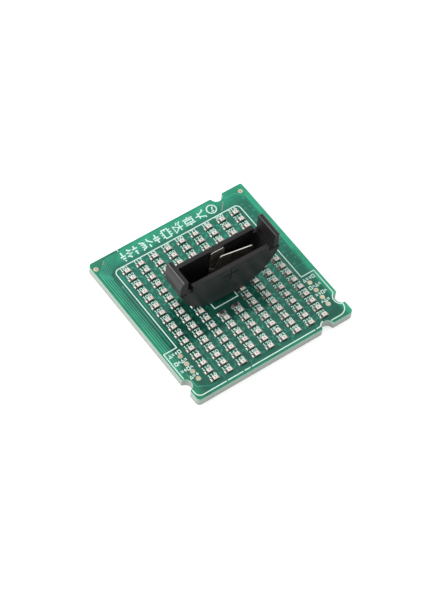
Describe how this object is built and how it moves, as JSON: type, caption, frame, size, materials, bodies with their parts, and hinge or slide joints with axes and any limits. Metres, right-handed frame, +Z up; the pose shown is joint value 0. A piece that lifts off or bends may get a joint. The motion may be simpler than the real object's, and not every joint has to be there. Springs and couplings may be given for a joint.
{
  "type": "component tester",
  "caption": "Square green circuit-board tester card: columns of chip lamps, gold test pads, key notches, and an upright black coin-cell holder with a sprung contact.",
  "frame": {"origin": "middle of the board's flat underside", "axes": "+Z up out of the lamp side; +Y towards the edge with the row of title symbols and one key notch; +X along that edge, towards its notch"},
  "size_m": [0.0376, 0.0376, 0.015],
  "materials": {
    "solder_mask": "semi-gloss green solder mask over copper",
    "glass_fibre_edge": "routed glass-fibre laminate edge",
    "black_plastic": "satin moulded nylon",
    "contact_metal": "bright nickel plate",
    "solder": "bright tin solder",
    "lamp_epoxy": "clear epoxy over a white base",
    "resistor_body": "satin glaze",
    "gold_plate": "thin gold plate",
    "legend_ink": "white printed ink"
  },
  "bodies": {
    "tester_card": {"battery_holder": "black_plastic", "circuit_board": "solder_mask", "lamp_bank_1a": "lamp_epoxy", "lamp_bank_1b": "lamp_epoxy", "lamp_bank_1c": "lamp_epoxy", "lamp_bank_1d": "lamp_epoxy", "lamp_bank_2a": "lamp_epoxy", "lamp_bank_2b": "lamp_epoxy", "lamp_bank_2c": "lamp_epoxy", "lamp_bank_2d": "lamp_epoxy", "lamp_bank_3a": "lamp_epoxy", "lamp_bank_3b": "lamp_epoxy", "lamp_bank_3c": "lamp_epoxy", "lamp_bank_3d": "lamp_epoxy", "lamp_bank_4a": "lamp_epoxy", "lamp_bank_4b": "lamp_epoxy", "lamp_bank_4c": "lamp_epoxy", "lamp_bank_4d": "lamp_epoxy", "lamp_bank_5a": "lamp_epoxy", "lamp_bank_5b": "lamp_epoxy", "lamp_bank_5c": "lamp_epoxy", "lamp_bank_5d": "lamp_epoxy", "lamp_bank_6a": "lamp_epoxy", "lamp_bank_6b": "lamp_epoxy", "lamp_bank_6c": "lamp_epoxy", "lamp_bank_6d": "lamp_epoxy", "lamp_bank_7a": "lamp_epoxy", "lamp_bank_7b": "lamp_epoxy", "lamp_bank_7c": "lamp_epoxy", "lamp_bank_7d": "lamp_epoxy", "lamp_bank_8a": "lamp_epoxy", "lamp_bank_8b": "lamp_epoxy", "lamp_bank_8c": "lamp_epoxy", "lamp_bank_8d": "lamp_epoxy", "lamp_bank_9a": "lamp_epoxy", "lamp_bank_9b": "lamp_epoxy", "lamp_bank_9c": "lamp_epoxy", "lamp_bank_9d": "lamp_epoxy", "negative_contact_plate": "contact_metal", "negative_solder_joint": "solder", "positive_contact_plate": "contact_metal", "positive_solder_joint": "solder", "resistor_1": "resistor_body", "resistor_2": "resistor_body"},
    "contact_leaf": {"negative_contact_leaf": "contact_metal"}
  },
  "joints": [
    {"name": "contact_leaf_flex", "type": "hinge", "parent": "tester_card", "child": "contact_leaf", "pos_m": [-0.00148, 0.00236, 0.0052], "axis": [0, 0, 1], "range_deg": [0, 10], "stiffness_Nm_per_rad": 0.05}
  ]
}
